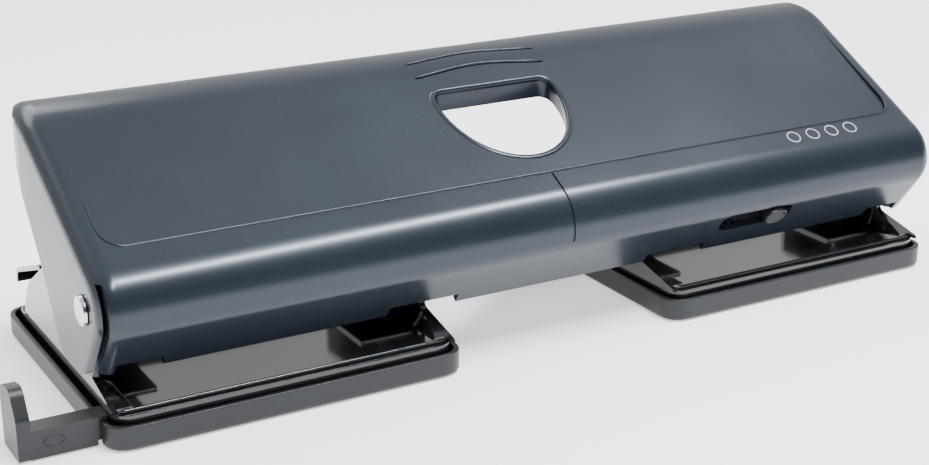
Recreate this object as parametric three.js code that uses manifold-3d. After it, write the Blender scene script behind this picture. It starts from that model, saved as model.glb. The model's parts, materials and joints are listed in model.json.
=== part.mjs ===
// Four-hole lever paper punch. Two stamped feet carry the four punches, and one long lever presses them.
// Millimetres, +Z up. +X runs along the length and +Y points away from the side where paper goes in.
import * as THREE from 'three';
import { mergeVertices } from 'three/addons/utils/BufferGeometryUtils.js';
import Module from 'manifold-3d';

const wasm = await Module();
wasm.setup();

// Driving dimensions
const HOLE_PITCH = 80;            // spacing of the four filing holes
const FOOT_X = HOLE_PITCH;        // centre of a foot
const GAP = 0.3;                  // clearance between pieces that touch
const PUNCH_Y = 30;
const PUNCH_R = 2.75;
const PIVOT = { y: 13, z: 32 };
const RIVET_R = 3;

const TRAY = { half: 47.6, depth: 88, height: 6.3, wall: 1.4, floor: 1.2, corner: 7 };
const BASE = { half: 45.35, front: 2.1, back: 84, skirt: 1.6, ledge: 8.1, top: 9, sheet: 1.2 };
const CHEEK_SHEET = 1.2;
const HANDLE = { half: 127.5, back: 72.5, crest: 69.3, sheet: 1.5, bend: 5, slope: 0.527 };
const NOSE = { panelY: 7.12, panelZ: 43.15, lipY: 10.9, lipZ: 15.5 };
const SLIT = { from: 125.2, to: 126.4 };
const GUIDE = { outer: -147, tab: 3.3, front: 6.8, bottom: 0.3, top: 7.5, inner: -62, back: 12.6 };
const LOCK = { x: 63.5, z: 24.8, slotLength: 25, slotWidth: 7, buttonX: 70 };
const RIVET_HEAD = 1.4;
const DISH = { half: 121.5, front: 12.5, back: 50, depth: 1 };
const BRACKET = { front: 22, back: 42, slotTop: 13.3, top: 24.6, sheet: 1.6, rivetY: 48.5, rivetHole: 1.9 };
const PIN = { tip: 13.6, shoulder: 37, top: 38.9, headR: 3.6 };
const SPRING = { low: 25.3, high: 34.7, coilR: 3.42, wireR: 0.33, turns: 5 };
const BAR = { front: 27, back: 33, bottom: 39.2, from: 34, to: 122 };
const FINGER_HOLE = { half: 19, back: 44.5, middle: 40, reach: 20.4 };
const RELIEF = { half: 10, top: 18.3 };   // cut-out in the handle's lower edge at each punch

const centreX = (GUIDE.outer + HANDLE.half + RIVET_HEAD) / 2;
const centreY = TRAY.depth / 2;

const part = new THREE.Group();
const body = new THREE.Group();
body.position.set(-centreX, -centreY, 0);
part.add(body);

const paint = { color: 0x20242a, roughness: 0.35, metalness: 0.4 };
const glossPaint = { color: 0x0c0e10, roughness: 0.12, metalness: 0.4 };
const plastic = { color: 0x25282b, roughness: 0.5, metalness: 0 };
const steel = { color: 0xd0d2d4, roughness: 0.25, metalness: 1 };
const zinc = { color: 0x9a9da0, roughness: 0.4, metalness: 1 };
const nylon = { color: 0xd8d4c8, roughness: 0.6, metalness: 0 };

// Solids and placing

function toSolid(geometry) {
  const bare = geometry.clone();
  bare.deleteAttribute('normal');
  bare.deleteAttribute('uv');
  const merged = mergeVertices(bare, 1e-4);
  return new wasm.Manifold(new wasm.Mesh({
    numProp: 3,
    vertProperties: new Float32Array(merged.attributes.position.array),
    triVerts: new Uint32Array(merged.index.array),
  }));
}

function toGeometry(solid) {
  const mesh = solid.getMesh();
  const geometry = new THREE.BufferGeometry();
  geometry.setAttribute('position', new THREE.BufferAttribute(mesh.vertProperties, 3));
  geometry.setIndex(new THREE.BufferAttribute(mesh.triVerts, 1));
  geometry.computeVertexNormals();
  return geometry;
}

function addPiece(name, shape, look) {
  const geometry = shape.isBufferGeometry ? shape : toGeometry(shape);
  const mesh = new THREE.Mesh(geometry, new THREE.MeshStandardMaterial(look));
  mesh.name = name;
  body.add(mesh);
}

// Corners are [u, v, radius]; a radius rounds that corner.
function outline(corners) {
  const shape = new THREE.Shape();
  const count = corners.length;
  for (let i = 0; i < count; i += 1) {
    const [u, v, radius = 0] = corners[i];
    const here = new THREE.Vector2(u, v);
    const before = new THREE.Vector2(...corners[(i + count - 1) % count].slice(0, 2)).sub(here);
    const after = new THREE.Vector2(...corners[(i + 1) % count].slice(0, 2)).sub(here);
    const turn = Math.acos(before.clone().normalize().dot(after.clone().normalize()));
    const cut = radius / Math.tan(turn / 2);
    const start = here.clone().add(before.setLength(Math.max(cut, 1e-9)));
    const end = here.clone().add(after.setLength(Math.max(cut, 1e-9)));
    if (i === 0) shape.moveTo(start.x, start.y);
    else shape.lineTo(start.x, start.y);
    if (radius > 0) shape.quadraticCurveTo(u, v, end.x, end.y);
  }
  shape.closePath();
  return shape;
}

// Moves every side of a closed, counter-clockwise outline inward.
function inset(corners, distance) {
  const count = corners.length;
  const normal = (a, b) => new THREE.Vector2(-(b[1] - a[1]), b[0] - a[0]).normalize();
  return corners.map(([u, v, radius = 0], i) => {
    const n1 = normal(corners[(i + count - 1) % count], corners[i]);
    const n2 = normal(corners[i], corners[(i + 1) % count]);
    const mid = n1.clone().add(n2);
    mid.multiplyScalar(distance / (1 + n1.dot(n2)));
    return [u + mid.x, v + mid.y, Math.max(radius - distance, 0)];
  });
}

function extrude(shape, length, bevel, segments, bevelSegments = 4) {
  return new THREE.ExtrudeGeometry(shape, {
    depth: length - 2 * bevel,
    bevelEnabled: bevel > 0,
    bevelThickness: bevel,
    bevelSize: bevel,
    bevelOffset: -bevel,
    bevelSegments,
    curveSegments: segments,
  }).translate(0, 0, bevel);
}

const ALONG_X = new THREE.Matrix4().makeBasis(
  new THREE.Vector3(0, 1, 0), new THREE.Vector3(0, 0, 1), new THREE.Vector3(1, 0, 0));
const ALONG_Y = new THREE.Matrix4().makeBasis(
  new THREE.Vector3(1, 0, 0), new THREE.Vector3(0, 0, 1), new THREE.Vector3(0, -1, 0));

// prismX takes a (y, z) outline, prismY an (x, z) outline and prismZ an (x, y) outline.
function prismX(shape, xa, xb, bevel = 0, segments = 5, bevelSegments = 4) {
  return toSolid(extrude(shape, Math.abs(xb - xa), bevel, segments, bevelSegments).applyMatrix4(ALONG_X)
    .translate(Math.min(xa, xb), 0, 0));
}

function prismY(shape, ya, yb, segments = 5) {
  return toSolid(extrude(shape, Math.abs(yb - ya), 0, segments).applyMatrix4(ALONG_Y)
    .translate(0, Math.max(ya, yb), 0));
}

function prismZ(shape, za, zb, bevel = 0, segments = 5) {
  return toSolid(extrude(shape, zb - za, bevel, segments).translate(0, 0, za));
}

function box(xa, xb, ya, yb, za, zb) {
  const size = [Math.abs(xb - xa), Math.abs(yb - ya), zb - za];
  return toSolid(new THREE.BoxGeometry(...size).translate((xa + xb) / 2, (ya + yb) / 2, (za + zb) / 2));
}

function rod(x, y, za, zb, radius, segments = 16) {
  return toSolid(new THREE.CylinderGeometry(radius, radius, zb - za, segments)
    .rotateX(Math.PI / 2).translate(x, y, (za + zb) / 2));
}

function rodX(xa, xb, y, z, radius, segments = 20) {
  return toSolid(new THREE.CylinderGeometry(radius, radius, Math.abs(xb - xa), segments)
    .rotateZ(Math.PI / 2).translate((xa + xb) / 2, y, z));
}

function rectangle(xa, xb, ya, yb, radius, backRadius = radius) {
  const low = Math.min(xa, xb);
  const high = Math.max(xa, xb);
  return [[low, ya, radius], [high, ya, radius], [high, yb, backRadius], [low, yb, backRadius]];
}

// A closed outline for a bent strip: the outer corners, then the same corners one sheet thickness in.
function bentStrip(corners, sheet) {
  const side = (i) => {
    const [a, b] = [corners[i], corners[i + 1]];
    return new THREE.Vector2(-(b[1] - a[1]), b[0] - a[0]).normalize();
  };
  const inner = corners.map(([u, v, radius = 0], i) => {
    const n1 = side(Math.max(i - 1, 0));
    const n2 = side(Math.min(i, corners.length - 2));
    const mid = n1.clone().add(n2).multiplyScalar(sheet / (1 + n1.dot(n2)));
    return [u + mid.x, v + mid.y, Math.max(radius - sheet, 0)];
  });
  return outline([...corners, ...inner.reverse()]);
}

const punchXs = [-1.5, -0.5, 0.5, 1.5].map((step) => step * HOLE_PITCH);

// Handle: one pressed shell with a rolled nose, folded cheeks, a finger hole and a dished panel

const panelAt = (y) => NOSE.panelZ + HANDLE.slope * (y - NOSE.panelY);
const crestY = NOSE.panelY + (HANDLE.crest - NOSE.panelZ) / HANDLE.slope;
const sideProfile = [
  [HANDLE.back, 5],
  [HANDLE.back, HANDLE.crest, 9],
  [crestY, HANDLE.crest, 26],
  [2, 40.46, 12.2],
  [-0.3, 30.4, 9.4],
  [18.8, 5],
];

function handleShell() {
  const inward = HANDLE.half - HANDLE.sheet;
  const plan = rectangle(-HANDLE.half, HANDLE.half, -9, HANDLE.back, 0, 14);
  const innerPlan = rectangle(-inward, inward, -9, HANDLE.back - HANDLE.sheet, 0, 12.5);
  const outer = prismX(outline(sideProfile), -HANDLE.half, HANDLE.half, HANDLE.bend, 12, 7)
    .intersect(prismZ(outline(plan), -1, 80));
  const innerSide = outline(inset(sideProfile, HANDLE.sheet));
  const inner = prismX(innerSide, -inward, inward, HANDLE.bend - HANDLE.sheet, 6)
    .intersect(prismZ(outline(innerPlan), -1, 80));

  // What is left of the closed body after trimming: the wall, the cheeks, and a slit between the two.
  const cheekRear = [[34, 13.6, 7], [46, 32, 20], [66, 56], [90, 56], [90, 80]];
  const middle = outline([[-9, 80], [-9, 10], [5, 7], [NOSE.lipY, NOSE.lipZ], [20, 26], [60, 54], [90, 54],
    [90, 80]]);
  const cheek = [[-9, 80], [-9, 30], [4, 22, 6], [18, 13.6, 8], ...cheekRear];
  const slit = [[-9, 80], [-9, 40.5], [9, 40.5], [12, 15], [18, 13.6, 4], ...cheekRear];
  let keep = prismX(middle, -SLIT.from, SLIT.from);
  for (const side of [-1, 1]) {
    keep = keep.add(prismX(outline(slit), side * (SLIT.from - 0.01), side * SLIT.to));
    keep = keep.add(prismX(outline(cheek), side * (SLIT.to - 0.01), side * (HANDLE.half + 2)));
  }
  const lowered = panelCut(-HANDLE.sheet / Math.cos(Math.atan(HANDLE.slope)));
  let shell = outer.subtract(panelCut(0)).subtract(inner.subtract(lowered)).intersect(keep);

  for (const x of punchXs) {
    const end = Math.min(Math.abs(x) + RELIEF.half, 122) * Math.sign(x);
    shell = shell.subtract(box(x - Math.sign(x) * RELIEF.half, end, -5, 18, 5, RELIEF.top));
  }
  shell = shell.add(holeRim()).subtract(holeCutter());
  shell = shell.subtract(fingerGrooves()).subtract(centreMark());
  shell = shell.subtract(lockSlot());
  return shell.subtract(rodX(-140, 140, PIVOT.y, PIVOT.z, RIVET_R + GAP));
}

// The dished area of the panel: deepest at its front line, level with the panel near the crest.
function panelCut(drop) {
  const wedge = outline([[DISH.front, panelAt(DISH.front) - DISH.depth + drop],
    [DISH.back, panelAt(DISH.back) + drop], [DISH.back, 90], [DISH.front, 90]]);
  const plan = outline(rectangle(-DISH.half, DISH.half, DISH.front, DISH.back, 6, 0));
  return prismX(wedge, -130, 130).intersect(prismZ(plan, 30, 95));
}

function holeOutline(grow) {
  const half = FINGER_HOLE.half + grow;
  const back = FINGER_HOLE.back + grow;
  const reach = FINGER_HOLE.reach + grow;
  const curve = [];
  for (let turn = Math.PI; turn < 2.001 * Math.PI; turn += Math.PI / 24) {
    curve.push([half * Math.cos(turn), FINGER_HOLE.middle + reach * Math.sin(turn)]);
  }
  return outline([[half, back, 4], [-half, back, 4], ...curve]);
}

function holeCutter() {
  return prismZ(holeOutline(0), 30, 90, 0, 8);
}

function holeRim() {
  const reach = 6;
  const flange = outline([[10, panelAt(10) - reach], [55, panelAt(55) - reach], [55, panelAt(55) - 1.6],
    [10, panelAt(10) - 1.6]]);
  return prismX(flange, -30, 30).intersect(prismZ(holeOutline(1.3), 30, 90, 0, 8));
}

function fingerGrooves() {
  let grooves = null;
  for (const y of [51.8, 57.5]) {
    const curve = outline([[-21, y - 2], [-20, y - 2.6], [0, y, 60], [20, y - 2.6], [21, y - 2],
      [0, y + 0.8, 60]]);
    const depth = prismX(outline([[y - 8, panelAt(y - 8) - 5], [y + 8, panelAt(y + 8) - 5], [y + 8, 90],
      [y - 8, 90]]), -30, 30);
    const skin = prismX(outline(inset(sideProfile, 0.5)), -40, 40, 0, 6);
    const groove = prismZ(curve, 40, 90, 0, 8).intersect(depth).subtract(skin);
    grooves = grooves ? grooves.add(groove) : groove;
  }
  return grooves;
}

// A fine line pressed across the roll of the nose, for lining up the middle of the paper.
function centreMark() {
  const skin = prismX(outline(inset(sideProfile, 0.4)), -5, 5, 0, 12);
  return box(-0.35, 0.35, -5, 12, 30, 46).subtract(skin);
}

// The lower wall leans back; pieces on it are drawn flat and then tipped onto it.
const WALL_TIP = new THREE.Matrix4().makeBasis(
  new THREE.Vector3(1, 0, 0), new THREE.Vector3(0, -0.602, 0.799), new THREE.Vector3(0, -0.799, -0.602))
  .setPosition(0, 3.9, LOCK.z);

function onWall(shape, from, to, segments = 6) {
  const geometry = extrude(shape, to - from, 0, segments).translate(0, 0, from);
  return toSolid(geometry.applyMatrix4(WALL_TIP));
}

function lockSlot() {
  const half = LOCK.slotLength / 2;
  const wide = LOCK.slotWidth / 2;
  return onWall(outline(rectangle(LOCK.x - half, LOCK.x + half, -wide, wide, wide)), -6, 6);
}

addPiece('handle_shell', handleShell(), paint);

for (const side of [-1, 1]) {
  const word = side < 0 ? 'left' : 'right';
  const strip = bentStrip([[BAR.front, panelAt(BAR.front) - 3.2], [BAR.front, BAR.bottom, 3],
    [BAR.back, BAR.bottom, 3], [BAR.back, panelAt(BAR.back) - 3.2]], 1.2);
  addPiece(`pressure_bar_${word}`, prismX(strip, side * BAR.from, side * BAR.to), zinc);
}

// Lock: a slider behind the wall, with its button standing in the slot
{
  const blade = onWall(outline(rectangle(LOCK.x - 6.5, LOCK.x + 14, -4.5, 4.5, 1)), -3.6, -1.9);
  addPiece('lock_slider', blade, zinc);
  const button = onWall(outline(rectangle(LOCK.buttonX - 3.7, LOCK.buttonX + 3.7, -3, 3, 2.9)), -1.6, 1.4, 8);
  addPiece('lock_button', button, plastic);
}

// Feet: chad tray, stamped base with its two cheeks, brackets, pins, springs and rivets

function chadTray(side) {
  const half = TRAY.half;
  const middle = side * FOOT_X;
  const outer = rectangle(middle - half, middle + half, 0, TRAY.depth, TRAY.corner);
  const shell = prismZ(outline(outer), 0, TRAY.height + 1.2, 1.2)
    .intersect(box(middle - 60, middle + 60, -5, 95, -1, TRAY.height));
  const pocket = prismZ(outline(inset(outer, TRAY.wall)), TRAY.floor, 20);
  let tray = shell.subtract(pocket);
  if (side < 0) {
    const edge = middle - half;
    tray = tray.subtract(box(edge - 1, edge + 17, GUIDE.front - GAP, GUIDE.back + GAP, -1, 20));
  }
  return tray;
}

function outerCheekOutline() {
  return outline([[2.4, 8.2], [75.5, 8.2], [73.5, 13, 5], [68.5, 20, 6], [54, 28.8, 6],
    [15, 40.3, 8], [4.6, 36, 7], [7, 24, 6], [16.5, 22, 2], [19, 12.8, 2], [3, 9]]);
}

function innerCheekOutline() {
  return outline([[2.4, 8.2], [58, 8.2], [58, 20, 5], [22, 26.5, 2], [17.5, 26.5, 2], [19, 12.8, 2], [3, 9]]);
}

function basePlate(side) {
  const middle = side * FOOT_X;
  const half = BASE.half;
  const ledge = rectangle(middle - half, middle + half, BASE.front, BASE.back, 5.5);
  const deck = rectangle(middle - half, middle + half, BASE.front + 1.8, BASE.back - 2, 4.5);
  const stamped = prismZ(outline(ledge), BASE.skirt, BASE.ledge)
    .add(prismZ(outline(deck), BASE.ledge - 2, BASE.top, 0.5))
    .subtract(prismZ(outline(inset(ledge, BASE.sheet)), 0, BASE.ledge - BASE.sheet))
    .subtract(prismZ(outline(inset(deck, BASE.sheet)), 0, BASE.top - BASE.sheet));

  const outerX = side * (FOOT_X + half);
  const innerX = side * (FOOT_X - half);
  const outerCheek = prismX(outerCheekOutline(), outerX - side * CHEEK_SHEET, outerX);
  const innerCheek = prismX(innerCheekOutline(), innerX, innerX + side * CHEEK_SHEET);
  const fillet = (x, toward) => {
    const corner = new THREE.Shape();
    corner.moveTo(x, BASE.top - 0.5);
    corner.lineTo(x + toward * 6, BASE.top - 0.5);
    corner.quadraticCurveTo(x + toward * 1.2, BASE.top + 0.6, x, BASE.top + 6);
    corner.closePath();
    return prismY(corner, BASE.front + 2.5, PUNCH_Y - 9, 6).intersect(
      prismX(outerCheekOutline(), x - 10, x + 10));
  };
  let foot = stamped.add(outerCheek).add(innerCheek)
    .add(fillet(outerX - side * 1.1, -side)).add(fillet(innerX + side * 1.1, side));
  for (const x of [side * FOOT_X / 2, side * FOOT_X * 1.5]) {
    foot = foot.subtract(rod(x, PUNCH_Y, 5, 12, PUNCH_R + GAP));
    foot = rivetPlaces(x, side).reduce(drillForRivet, foot);
  }
  foot = foot.subtract(rodX(outerX - 5, outerX + 5, PIVOT.y, PIVOT.z, RIVET_R + GAP));
  if (side < 0) {
    const doorway = [GUIDE.front - GAP, GUIDE.back + GAP, 0, GUIDE.top + GAP];
    foot = foot.subtract(box(outerX - 1, outerX + 1.5, ...doorway));
  }
  return foot;
}

function drillForRivet(solid, x) {
  return solid.subtract(rod(x, BRACKET.rivetY, 5, 12, BRACKET.rivetHole));
}

// A bracket reaches from its foot's nearer cheek toward the middle of the foot.
function bracketSpan(x, side) {
  const toMiddle = Math.sign(side * FOOT_X - x);
  return [x - toMiddle * 3.85, x + toMiddle * 12];
}

function rivetPlaces(x, side) {
  const toMiddle = Math.sign(side * FOOT_X - x);
  return [x, x + toMiddle * 8];
}

function punchBracket(x, side) {
  const [xa, xb] = bracketSpan(x, side);
  const { front, back, slotTop, top, sheet } = BRACKET;
  const foot = BASE.top + GAP;
  const profile = outline([
    [front, slotTop, 0.7], [back, slotTop], [back, foot], [back + 11, foot],
    [back + 11, foot + sheet], [back + sheet, foot + sheet], [back + sheet, top, 2], [front + 2, top, 0.7],
    [front + 2, top - sheet, 0.7], [back, top - sheet],
    [back, slotTop + sheet], [front, slotTop + sheet, 0.7],
  ]);
  const bracket = prismX(profile, xa, xb).subtract(rod(x, PUNCH_Y, 10, 30, PUNCH_R + GAP));
  return rivetPlaces(x, side).reduce(drillForRivet, bracket);
}

// Points are [radius, height], turned about an upright axis at (x, y).
function lathe(points, x, y, segments) {
  const profile = points.map(([r, z]) => new THREE.Vector2(r, z));
  return new THREE.LatheGeometry(profile, segments).rotateX(Math.PI / 2).translate(x, y, 0);
}

function punchPin(x) {
  const { tip, shoulder, top, headR } = PIN;
  return toSolid(lathe([[0, tip + 0.5], [PUNCH_R, tip], [PUNCH_R, shoulder], [headR, shoulder],
    [headR, top - 0.6], [headR - 0.6, top], [0, top]], x, PUNCH_Y, 20));
}

function springCup(x) {
  const [inner, outer, low, high] = [3.05, 3.95, 35.4, 36.7];
  const ring = [[inner, low], [outer, low], [outer, high], [inner, high], [inner, low]];
  return toSolid(lathe(ring, x, PUNCH_Y, 18));
}

function bracketRivet(x) {
  return toSolid(lathe([[0, 5.6], [2.2, 5.6], [2.6, 6.2], [2.6, 7.5], [1.6, 7.5], [1.6, 11.2], [2.9, 11.2],
    [2.5, 12.1], [0, 12.6]], x, BRACKET.rivetY, 14));
}

class Helix extends THREE.Curve {
  constructor(x, low, high, radius, turns) {
    super();
    Object.assign(this, { x, low, high, radius, turns });
  }

  getPoint(t, target = new THREE.Vector3()) {
    const angle = t * this.turns * 2 * Math.PI;
    return target.set(this.x + this.radius * Math.cos(angle), PUNCH_Y + this.radius * Math.sin(angle),
      this.low + t * (this.high - this.low));
  }
}

function returnSpring(x) {
  const wire = new THREE.Shape();
  wire.absarc(0, 0, SPRING.wireR, 0, 2 * Math.PI);
  const path = new Helix(x, SPRING.low, SPRING.high, SPRING.coilR, SPRING.turns);
  return toSolid(new THREE.ExtrudeGeometry(wire, {
    extrudePath: path, steps: 12 * SPRING.turns, curveSegments: 3, bevelEnabled: false,
  }));
}

for (const side of [-1, 1]) {
  const word = side < 0 ? 'left' : 'right';
  addPiece(`chad_tray_${word}`, chadTray(side), plastic);
  addPiece(`base_plate_${word}`, basePlate(side), glossPaint);
}

punchXs.forEach((x, i) => {
  const side = Math.sign(x);
  addPiece(`punch_bracket_${i + 1}`, punchBracket(x, side), zinc);
  addPiece(`punch_pin_${i + 1}`, punchPin(x), steel);
  addPiece(`spring_cup_${i + 1}`, springCup(x), zinc);
  addPiece(`return_spring_${i + 1}`, returnSpring(x), steel);
  rivetPlaces(x, side).forEach((rivetX, j) => {
    addPiece(`bracket_rivet_${i + 1}_${j + 1}`, bracketRivet(rivetX), steel);
  });
});

// Frame: the hinge channel in the nose, the rear bridge, and the pivot rivets with their washers

const channelEnd = FOOT_X + BASE.half - CHEEK_SHEET - GAP;
const channel = bentStrip([[20, 38], [7.5, 38, 2], [7.5, 26.8, 2], [20, 26.8]], 1.4);
addPiece('hinge_channel', prismX(channel, -channelEnd, channelEnd), zinc);
const bridge = bentStrip([[87.2, 14.4], [86, 18.2, 2.5], [61.5, 27, 2.5], [61.5, BASE.top + GAP]], 1.4);
addPiece('rear_bridge', prismX(bridge, -channelEnd, channelEnd), glossPaint);
const catchHook = outline([[12.5, 22.5], [14, 22.5], [14, 25.1], [19.5, 25.1], [19.5, 26.5], [12.5, 26.5]]);
addPiece('lock_catch', prismX(catchHook, LOCK.x - 22, LOCK.x - 14), zinc);

for (const side of [-1, 1]) {
  const word = side < 0 ? 'left' : 'right';
  const cheekX = FOOT_X + BASE.half;
  const rivet = new THREE.LatheGeometry([
    [0, 122.1], [3.4, 122.1], [3.4, cheekX - CHEEK_SHEET - GAP], [RIVET_R - 0.05, cheekX - CHEEK_SHEET - GAP],
    [RIVET_R - 0.05, HANDLE.half + 0.15], [3.9, HANDLE.half + 0.15], [3.7, HANDLE.half + 1],
    [2.6, HANDLE.half + RIVET_HEAD], [0, HANDLE.half + RIVET_HEAD],
  ].map(([r, x]) => new THREE.Vector2(r, x)), 24).rotateZ(-side * Math.PI / 2).translate(0, PIVOT.y, PIVOT.z);
  addPiece(`pivot_rivet_${word}`, toSolid(rivet), steel);
  const washerEnds = [side * (cheekX + GAP / 2), side * (HANDLE.half - HANDLE.sheet - GAP / 2)];
  const washer = rodX(...washerEnds, PIVOT.y, PIVOT.z, 7, 24)
    .subtract(rodX(side * 120, side * 130, PIVOT.y, PIVOT.z, RIVET_R + GAP, 24));
  addPiece(`pivot_washer_${word}`, washer, nylon);
}

// Paper guide: a bar that slides out under the left foot, with an upright stop at its end
{
  const tabInner = GUIDE.outer + GUIDE.tab;
  const tab = prismX(outline([[GUIDE.front, GUIDE.bottom, 0.5], [19, GUIDE.bottom, 0.5], [19, 15.8, 3],
    [10.8, 17.4, 3.5], [GUIDE.front, 10.5, 3]]), GUIDE.outer, tabInner, 0, 8);
  const footEdge = -(FOOT_X + TRAY.half + 0.6);
  const outerBar = box(tabInner - 0.5, footEdge, GUIDE.front, GUIDE.back, GUIDE.bottom, GUIDE.top);
  const innerBar = box(footEdge - 0.2, GUIDE.inner, GUIDE.front, GUIDE.back, TRAY.floor + 0.4, GUIDE.top);
  addPiece('paper_guide', tab.add(outerBar).add(innerBar), plastic);
}

export default part;
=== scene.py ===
# Looks for a four-hole lever punch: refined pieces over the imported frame, in paint, plastic and steel.
import json
import math

import bmesh
import bpy
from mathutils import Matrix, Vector


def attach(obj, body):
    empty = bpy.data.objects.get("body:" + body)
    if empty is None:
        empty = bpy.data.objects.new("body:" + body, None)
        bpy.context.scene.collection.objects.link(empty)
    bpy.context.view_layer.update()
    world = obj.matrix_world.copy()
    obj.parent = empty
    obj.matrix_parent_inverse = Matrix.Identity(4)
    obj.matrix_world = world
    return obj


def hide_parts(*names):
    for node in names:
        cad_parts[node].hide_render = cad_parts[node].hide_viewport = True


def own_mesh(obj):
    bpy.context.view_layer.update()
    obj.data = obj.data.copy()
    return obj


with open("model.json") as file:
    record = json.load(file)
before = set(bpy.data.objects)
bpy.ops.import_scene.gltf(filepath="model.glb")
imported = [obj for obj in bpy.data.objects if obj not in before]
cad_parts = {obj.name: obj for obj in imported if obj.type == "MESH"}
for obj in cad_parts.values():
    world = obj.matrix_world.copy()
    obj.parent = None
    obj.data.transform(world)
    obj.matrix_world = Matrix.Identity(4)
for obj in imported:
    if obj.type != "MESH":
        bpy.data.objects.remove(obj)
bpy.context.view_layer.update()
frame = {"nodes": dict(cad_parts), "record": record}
record = frame["record"]

MM = 0.001
SHIFT = Vector((9.05, -44.0, 0.0)) * MM      # from the punch's own middle and front to the row frame

CAMERA_AT = (-0.220476, -0.385156, 0.177088)
CAMERA_TURN = (70.601, 0.0, -29.893)         # degrees
CAMERA_LENS = 64.72
SENSOR_WIDTH = 36.0

FLOOR_HALF = 3.0
FLOOR_DROP = 0.0002
FLOOR_COLOUR = (0.95, 0.95, 0.955, 1)
FLOOR_ROUGHNESS = 0.8
FLOOR_GLOW = 0.75

SKY_COLOUR = (0.98, 0.985, 1.0, 1)
SKY_BY_HEIGHT = [(0.0, 0.92), (0.50, 0.90), (0.56, 0.06), (0.71, 0.05), (0.82, 0.30), (0.92, 0.9)]
SKY_BEHIND = 0.95
SKY_TURNS_FRONT = (0.25, -0.35)              # the sky's own y, from behind round to the front

# The handle's panel, dish and crest, in mm
PANEL_SLOPE = 0.527
PANEL_FROM = (7.12, 43.15)                   # (y, z) where the flat panel starts
DISH_DEPTH, DISH_FRONT, DISH_BACK, DISH_HALF = 1.0, 12.5, 50.0, 121.5
CREST = ((51.0, 66.3), (56.74, 69.3), (63.2, 69.3))   # (y, z) of the roll's start, corner and end

# The lower wall of the nose, which the lock's button stands on
WALL_AT = (0.0, 3.9, 24.8)
WALL_UP = (0.0, -0.602, 0.799)
WALL_OUT = (0.0, -0.799, -0.602)

# Radius in mm that sharp edges are rounded over by, for nodes whose names start so
EDGE_ROUND = {"handle_shell": 0.22, "chad_tray": 0.35, "base_plate": 0.25, "paper_guide": 0.4,
              "rear_bridge": 0.2, "punch_bracket": 0.15, "hinge_channel": 0.15, "pressure_bar": 0.15,
              "lock_slider": 0.12, "lock_catch": 0.12, "pivot_rivet": 0.15, "pivot_washer": 0.12,
              "punch_pin": 0.08, "bracket_rivet": 0.1, "spring_cup": 0.06}
SHARP_FROM = 24                              # degrees
FLAT_WITHIN = 0.5                            # degrees
WELD_WITHIN = 3e-6                           # metres
BEVEL_SEGMENTS, BEVEL_PROFILE = 2, 0.6
NORMAL_WEIGHT = 50

CORNER_STEPS = 8


def at(x, y, z):
    """A point given in mm from the punch's middle and front edge, in the row frame."""
    return Vector((x, y, z)) * MM + SHIFT


def panel_z(y):
    return PANEL_FROM[1] + PANEL_SLOPE * (y - PANEL_FROM[0])


def skin_z(y):
    """Height of the handle's outer skin, outside the dished area, over the panel and the crest."""
    (y0, z0), (y1, z1), (y2, _) = CREST
    if y <= y0:
        return panel_z(y)
    a, b, c = y0 - 2 * y1 + y2, 2 * (y1 - y0), y0 - y
    t = (-b + math.sqrt(b * b - 4 * a * c)) / (2 * a)
    return (1 - t) ** 2 * z0 + (1 - (1 - t) ** 2) * z1


def dish_z(y):
    return panel_z(y) - DISH_DEPTH * (DISH_BACK - y) / (DISH_BACK - DISH_FRONT)


def arc(middle, radii, start, end, steps):
    """Points in a plane round part of an ellipse, both ends among them."""
    turns = [start + (end - start) * k / steps for k in range(steps + 1)]
    return [(middle[0] + radii[0] * math.cos(t), middle[1] + radii[1] * math.sin(t)) for t in turns]


def ellipse(middle, radii, count):
    return arc(middle, radii, 0, 2 * math.pi, count)[:-1]


# Camera, floor and light

def make_camera():
    data = bpy.data.cameras.new("camera")
    data.sensor_fit = "HORIZONTAL"
    data.sensor_width = SENSOR_WIDTH
    data.lens = CAMERA_LENS
    camera = bpy.data.objects.new("camera", data)
    camera.location = CAMERA_AT
    camera.rotation_euler = [math.radians(a) for a in CAMERA_TURN]
    bpy.context.scene.collection.objects.link(camera)
    bpy.context.scene.camera = camera


def make_floor():
    bm = bmesh.new()
    bmesh.ops.create_grid(bm, x_segments=8, y_segments=8, size=FLOOR_HALF)
    floor = link_mesh("floor", bm)
    floor.location = (0, 0, -FLOOR_DROP)
    material = bpy.data.materials.new("floor_white")
    material.use_nodes = True
    shader = material.node_tree.nodes["Principled BSDF"]
    shader.inputs["Base Color"].default_value = FLOOR_COLOUR
    shader.inputs["Roughness"].default_value = FLOOR_ROUGHNESS
    shader.inputs["Emission Color"].default_value = (1, 1, 1, 1)
    shader.inputs["Emission Strength"].default_value = FLOOR_GLOW
    floor.data.materials.append(material)


def area_light(name, place, target, size, power, colour=(1, 1, 1)):
    data = bpy.data.lights.new(name, "AREA")
    data.shape = "RECTANGLE"
    data.size, data.size_y = size
    data.energy = power
    data.color = colour
    light = bpy.data.objects.new(name, data)
    light.location = place
    aim = Vector(target) - Vector(place)
    light.rotation_euler = aim.to_track_quat("-Z", "Y").to_euler()
    bpy.context.scene.collection.objects.link(light)


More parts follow.
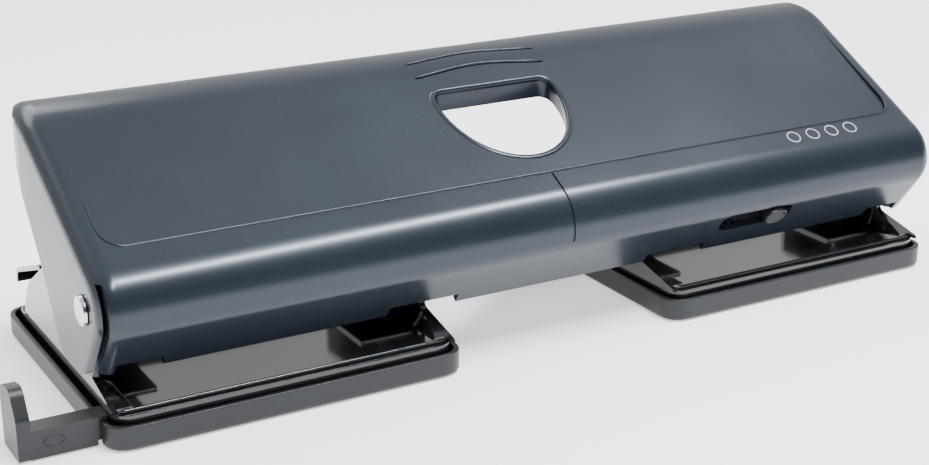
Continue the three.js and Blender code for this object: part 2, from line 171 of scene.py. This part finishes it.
def make_world():
    """White overhead, below and behind, with a dark band above the horizon in front."""
    world = bpy.data.worlds.new("studio")
    bpy.context.scene.world = world
    world.use_nodes = True
    tree = world.node_tree
    nodes, links = tree.nodes, tree.links
    background = nodes["Background"]
    coordinates = nodes.new("ShaderNodeTexCoord")
    split = nodes.new("ShaderNodeSeparateXYZ")
    links.new(coordinates.outputs["Generated"], split.inputs[0])
    height = ramp(nodes, SKY_BY_HEIGHT)
    links.new(remap(nodes, links, split.outputs["Z"], -1, 1), height.inputs["Fac"])
    front = remap(nodes, links, split.outputs["Y"], *SKY_TURNS_FRONT)
    blend = nodes.new("ShaderNodeMix")
    blend.data_type = "FLOAT"
    links.new(front, blend.inputs["Factor"])
    blend.inputs["A"].default_value = SKY_BEHIND
    links.new(height.outputs["Color"], blend.inputs["B"])
    links.new(blend.outputs["Result"], background.inputs["Strength"])
    background.inputs["Color"].default_value = SKY_COLOUR


# Node helpers

def ramp(nodes, stops):
    """A colour ramp whose stops are greys or (r, g, b) colours."""
    node = nodes.new("ShaderNodeValToRGB")
    node.color_ramp.interpolation = "EASE"
    elements = node.color_ramp.elements
    while len(elements) < len(stops):
        elements.new(0.5)
    for element, (position, value) in zip(elements, stops):
        element.position = position
        element.color = (*value, 1) if isinstance(value, tuple) else (value, value, value, 1)
    return node


def remap(nodes, links, source, low, high, to_low=0.0, to_high=1.0):
    node = nodes.new("ShaderNodeMapRange")
    node.inputs["From Min"].default_value = low
    node.inputs["From Max"].default_value = high
    node.inputs["To Min"].default_value = to_low
    node.inputs["To Max"].default_value = to_high
    links.new(source, node.inputs["Value"])
    return node.outputs["Result"]


def noise(nodes, links, coordinates, scale, detail, stretch=(1, 1, 1)):
    mapping = nodes.new("ShaderNodeMapping")
    mapping.inputs["Scale"].default_value = stretch
    links.new(coordinates, mapping.inputs["Vector"])
    node = nodes.new("ShaderNodeTexNoise")
    node.inputs["Scale"].default_value = scale
    node.inputs["Detail"].default_value = detail
    links.new(mapping.outputs["Vector"], node.inputs["Vector"])
    return node.outputs["Fac"]


CLOUD_SCALE, CLOUD_DETAIL, GRAIN_DETAIL = 28, 3.0, 2
GRAIN_IN_TINT = 0.45
TINT_FROM, TINT_TO = 0.3, 0.7
CLOUD_SPREAD = (0.15, 0.85)
RELIEF_DEPTH = 0.0002                        # metres
SPECULAR = 0.4


def surface(name, dark, light, rough, metallic, grain, bump, coat=(0.0, 0.1), stretch=(1, 1, 1)):
    """Colour drifts from dark to light over a cloud. Rough is a range, coat is weight and roughness,
    and grain is the noise scale of the bump, stretched along the object's axes."""
    material = bpy.data.materials.new(name)
    material.use_nodes = True
    nodes, links = material.node_tree.nodes, material.node_tree.links
    shader = nodes["Principled BSDF"]
    shader.inputs["Metallic"].default_value = metallic
    shader.inputs["Specular IOR Level"].default_value = SPECULAR
    shader.inputs["Coat Weight"].default_value, shader.inputs["Coat Roughness"].default_value = coat
    coordinates = nodes.new("ShaderNodeTexCoord").outputs["Object"]
    cloud = noise(nodes, links, coordinates, CLOUD_SCALE, CLOUD_DETAIL)
    fine = noise(nodes, links, coordinates, grain, GRAIN_DETAIL, stretch)
    tint = ramp(nodes, [(TINT_FROM, dark), (TINT_TO, light)])
    speck = nodes.new("ShaderNodeMix")
    speck.data_type = "FLOAT"
    speck.inputs["Factor"].default_value = GRAIN_IN_TINT
    links.new(cloud, speck.inputs["A"])
    links.new(fine, speck.inputs["B"])
    links.new(speck.outputs["Result"], tint.inputs["Fac"])
    links.new(tint.outputs["Color"], shader.inputs["Base Color"])
    links.new(remap(nodes, links, cloud, *CLOUD_SPREAD, *rough), shader.inputs["Roughness"])
    relief = nodes.new("ShaderNodeBump")
    relief.inputs["Strength"].default_value = bump
    relief.inputs["Distance"].default_value = RELIEF_DEPTH
    links.new(fine, relief.inputs["Height"])
    links.new(relief.outputs["Normal"], shader.inputs["Normal"])
    return material


LOOKS = {
    "handle_paint": surface("charcoal_satin_paint", (0.018, 0.024, 0.033), (0.022, 0.029, 0.040),
                            rough=(0.24, 0.29), metallic=0.35, grain=1500, bump=0.05,
                            coat=(0.12, 0.14)),
    "base_paint": surface("black_gloss_paint", (0.006, 0.007, 0.008), (0.010, 0.011, 0.012),
                          rough=(0.10, 0.15), metallic=0.1, grain=700, bump=0.03, coat=(0.8, 0.05)),
    "plastic": surface("grained_black_plastic", (0.009, 0.010, 0.011), (0.013, 0.015, 0.016),
                       rough=(0.34, 0.42), metallic=0.0, grain=3200, bump=0.25),
    "print": surface("grey_print", (0.50, 0.51, 0.53), (0.58, 0.59, 0.61),
                     rough=(0.40, 0.50), metallic=0.0, grain=2500, bump=0.10),
    "steel": surface("turned_steel", (0.62, 0.62, 0.63), (0.74, 0.74, 0.75),
                     rough=(0.12, 0.22), metallic=1.0, grain=1200, bump=0.08, stretch=(1, 1, 6)),
    "zinc": surface("zinc_plate", (0.40, 0.41, 0.42), (0.50, 0.51, 0.52),
                    rough=(0.28, 0.42), metallic=1.0, grain=900, bump=0.12, stretch=(0.15, 2, 2)),
    "nylon": surface("natural_nylon", (0.70, 0.67, 0.60), (0.78, 0.75, 0.68),
                     rough=(0.45, 0.55), metallic=0.0, grain=2000, bump=0.12),
}


# Meshes

def link_mesh(name, bm, look=None):
    mesh = bpy.data.meshes.new(name)
    bm.to_mesh(mesh)
    bm.free()
    for polygon in mesh.polygons:
        polygon.use_smooth = True
    piece = bpy.data.objects.new(name, mesh)
    bpy.context.scene.collection.objects.link(piece)
    if look:
        mesh.materials.append(LOOKS[look])
    return piece


def settle(piece, body, slot, *nodes):
    """Evens out the shading, and says which body and CAD nodes the piece belongs to; slot is not used.
    """
    weighted = piece.modifiers.new("even_normals", "WEIGHTED_NORMAL")
    weighted.weight = NORMAL_WEIGHT
    weighted.keep_sharp = True
    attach(piece, body)
    if nodes:
        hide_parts(*nodes)


def refine(node, body, slot, width):
    """The node's own solid, with flat faces joined up and sharp edges rounded over by width, in mm."""
    bm = bmesh.new()
    bm.from_mesh(frame["nodes"][node].data)
    bmesh.ops.remove_doubles(bm, verts=bm.verts, dist=WELD_WITHIN)
    bmesh.ops.dissolve_limit(bm, angle_limit=math.radians(FLAT_WITHIN), verts=bm.verts, edges=bm.edges)
    sharp = [edge for edge in bm.edges
             if len(edge.link_faces) == 2 and edge.calc_face_angle(0) > math.radians(SHARP_FROM)]
    bmesh.ops.bevel(bm, geom=sharp, offset=width * MM, segments=BEVEL_SEGMENTS,
                    profile=BEVEL_PROFILE, affect="EDGES", clamp_overlap=True)
    bmesh.ops.triangulate(bm, faces=[face for face in bm.faces if len(face.verts) > 4])
    settle(link_mesh(f"{node}_finish", bm, slot), body, slot, node)


def dress_nodes():
    slots = {s["node"]: s["material_slot"] for s in record["subparts"]}
    for body, members in record["behaviour"]["bodies"].items():
        for node in members:
            width = next((w for start, w in EDGE_ROUND.items() if node.startswith(start)), None)
            if width:
                refine(node, body, slots[node], width)


def sweep(name, look, points, radii, closed=False, sides=10):
    """A round bead along points, in mm. Radii are one for each point."""
    bm = bmesh.new()
    rings = []
    count = len(points)
    spots = [at(*point) for point in points]
    turns = [2 * math.pi * k / sides for k in range(sides)]
    for i, (spot, radius) in enumerate(zip(spots, radii)):
        before = spots[i - 1] if closed or i else spot
        after = spots[(i + 1) % count] if closed or i < count - 1 else spot
        along = (after - before).normalized()
        reference = Vector((0, 0, 1)) if abs(along.z) < 0.9 else Vector((1, 0, 0))
        across = along.cross(reference).normalized()
        up = across.cross(along)
        rings.append([bm.verts.new(spot + (across * math.cos(t) + up * math.sin(t)) * radius * MM)
                      for t in turns])
    pairs = list(zip(rings, rings[1:] + rings[:1])) if closed else list(zip(rings, rings[1:]))
    for ring, following in pairs:
        for k in range(sides):
            j = (k + 1) % sides
            bm.faces.new((ring[k], ring[j], following[j], following[k]))
    if not closed:
        bm.faces.new(reversed(rings[0]))
        bm.faces.new(rings[-1])
    bmesh.ops.recalc_face_normals(bm, faces=bm.faces)
    return link_mesh(name, bm, look)


def dish_rim():
    """The pressed edge round the dished area: full along the front, fading up both sides."""
    corner, thick, thin, sink = 6, 0.5, 0.06, 0.12
    side_start, side_step, side_count = DISH_BACK - 2, 3.0, 10
    fade_from, fade_over, front_steps = 20, 30, 24
    inner = DISH_HALF - corner
    points = []
    for side in (-1, 1):
        run = [(side * DISH_HALF, side_start - k * side_step) for k in range(side_count)]
        run += arc((side * inner, DISH_FRONT + corner), (side * corner, -corner),
                   0, math.pi / 2, CORNER_STEPS)
        run += [(side * (inner - k * inner / front_steps), DISH_FRONT) for k in range(1, front_steps)]
        points += run if side < 0 else list(reversed(run))
    radii = [thick if y < fade_from else max(thin, thick * (DISH_BACK - y) / fade_over)
             for _, y in points]
    line = [(x, y, panel_z(y) - sink) for x, y in points]
    settle(sweep("dish_rim", "handle_paint", line, radii), "handle", "handle_paint")


def hole_rim():
    """The turned-down lip round the finger hole: a deep curve in front, and rounded corners behind."""
    half, back, middle, reach, corner = 19.5, 45.0, 40.0, 20.9, 4.0
    radius, sink = 1.0, 0.75
    inner = half - corner
    front_steps, back_steps, sides = 48, 12, 16
    right, left = [arc((side * inner, back - corner), (side * corner, corner),
                       0, math.pi / 2, CORNER_STEPS) for side in (1, -1)]
    straight = [(inner - 2 * k * inner / back_steps, back) for k in range(1, back_steps)]
    outline = arc((0, middle), (half, reach), math.pi, 2 * math.pi, front_steps)
    outline += right + straight + list(reversed(left))
    line = [(x, y, dish_z(y) - sink) for x, y in outline]
    rim = sweep("hole_rim", "handle_paint", line, [radius] * len(line), closed=True, sides=sides)
    settle(rim, "handle", "handle_paint")


def finger_ridges():
    """Two shallow chevrons across the crest, with rounded points and tapered ends."""
    reach, drop, drop_over, steps = 20.5, 2.6, 20, 32
    crown_half, crown_drop, crown_curve = 7.8, 0.507, 0.00833
    radius, tip, taper_points, lift, sink = 0.42, 0.15, 3, 0.75, 0.1
    for number, middle in enumerate((51.8, 57.5)):
        points = []
        for k in range(steps + 1):
            x = -reach + 2 * reach * k / steps
            crown = abs(x) < crown_half
            fall = crown_drop + crown_curve * x * x if crown else drop * abs(x) / drop_over
            y = middle + lift - fall
            points.append((x, y, skin_z(y) - sink))
        ends = [min(1.0, tip + k / taper_points) for k in range(steps + 1)]
        radii = [radius * min(a, b) for a, b in zip(ends, reversed(ends))]
        ridge = sweep(f"finger_ridge_{number + 1}", "handle_paint", points, radii)
        settle(ridge, "handle", "handle_paint")


def plain_rings():
    """Four small printed rings, where such a punch carries its badge."""
    first_x, pitch, y, radius, flatten, line, count = 80.5, 7.0, 9.6, 2.0, 0.88, 0.17, 40
    for number in range(4):
        outline = ellipse((first_x + pitch * number, y), (radius, radius * flatten), count)
        points = [(x, y, panel_z(y)) for x, y in outline]
        ring = sweep(f"plain_ring_{number + 1}", "print", points, [line] * count, closed=True)
        settle(ring, "handle", "handle_paint")


def return_springs():
    """A coil round each pin, built at one fixed length."""
    first_x, pitch, y = -120.0, 80.0, 30
    low, high, coil, wire, turns, steps, sides = 25.3, 34.7, 3.42, 0.33, 5, 180, 8
    for number in range(4):
        x = first_x + pitch * number
        circle = arc((x, y), (coil, coil), 0, 2 * math.pi * turns, steps)
        points = [(*spot, low + (high - low) * k / steps) for k, spot in enumerate(circle)]
        spring = sweep(f"coil_{number + 1}", "steel", points, [wire] * (steps + 1), sides=sides)
        settle(spring, "frame", "steel", f"return_spring_{number + 1}")
        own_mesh(spring)


def guide_mark():
    """A moulded oval on the face of the guide's bar."""
    middle, radii, face_y, line, count = (-138.5, 4.1), (2.5, 1.3), 6.8, 0.16, 32
    points = [(x, face_y, z) for x, z in ellipse(middle, radii, count)]
    mark = sweep("guide_mark", "plastic", points, [line] * count, closed=True)
    settle(mark, "guide", "plastic")


def thumb_height(r, x, y):
    """How far the button stands off the wall, in mm: r goes from 0 at its middle to 1 at its edge."""
    edge_from, edge_height = 0.97, 1.05
    rim_from, rim_middle, rim_half, rim_height, rim_fall = 0.74, 0.86, 0.12, 1.4, 0.18
    floor_height, grip_height, grip_rate, grip_slant, grip_fade = 0.98, 0.16, 5.5, 0.7, 6
    if r > edge_from:
        return edge_height
    if r > rim_from:
        return rim_height - rim_fall * abs(r - rim_middle) / rim_half
    grip = math.cos(grip_rate * (x - grip_slant * y))
    return floor_height + grip_height * grip * min(1.0, (rim_from - r) * grip_fade)


def lock_thumb():
    """The lock's oval button: a raised rim round a centre with slanted grip ridges."""
    button_x = 70.0
    centre = Vector((button_x, 0, 0)) + Vector(WALL_AT)
    half_x, half_y, squareness, root = 3.7, 3.0, 0.85, -1.6
    around, ring_count = 56, 16

    def squarish(value):
        return math.copysign(abs(value) ** squareness, value)

    def spot(x, y, out):
        return at(*(centre + Vector((x, 0, 0)) + y * Vector(WALL_UP) + out * Vector(WALL_OUT)))

    bm = bmesh.new()
    rings = []
    levels = [(r / ring_count, None) for r in range(1, ring_count + 1)] + [(1.0, root)]
    for r, fixed in levels:
        ring = []
        for k in range(around):
            turn = 2 * math.pi * k / around
            x = half_x * r * squarish(math.cos(turn))
            y = half_y * r * squarish(math.sin(turn))
            out = thumb_height(r, x, y) if fixed is None else fixed
            ring.append(bm.verts.new(spot(x, y, out)))
        rings.append(ring)
    top = bm.verts.new(spot(0, 0, thumb_height(0, 0, 0)))
    for k in range(around):
        j = (k + 1) % around
        bm.faces.new((top, rings[0][k], rings[0][j]))
        for ring, following in zip(rings, rings[1:]):
            bm.faces.new((ring[k], following[k], following[j], ring[j]))
    bm.faces.new(rings[-1])
    bmesh.ops.recalc_face_normals(bm, faces=bm.faces)
    settle(link_mesh("lock_thumb", bm, "plastic"), "lock", "plastic", "lock_button")


make_camera()
make_floor()
make_world()
area_light("overhead_strip", place=(0.22, -0.31, 0.90), target=(0.0, -0.03, 0.04), size=(0.9, 0.10),
           power=24, colour=(0.92, 0.94, 1.0))
area_light("rear_softbox", place=(-0.3, 0.9, 0.9), target=(0, 0, 0.04), size=(1.2, 0.5), power=10)
dress_nodes()
dish_rim()
hole_rim()
finger_ridges()
plain_rings()
guide_mark()
lock_thumb()
return_springs()
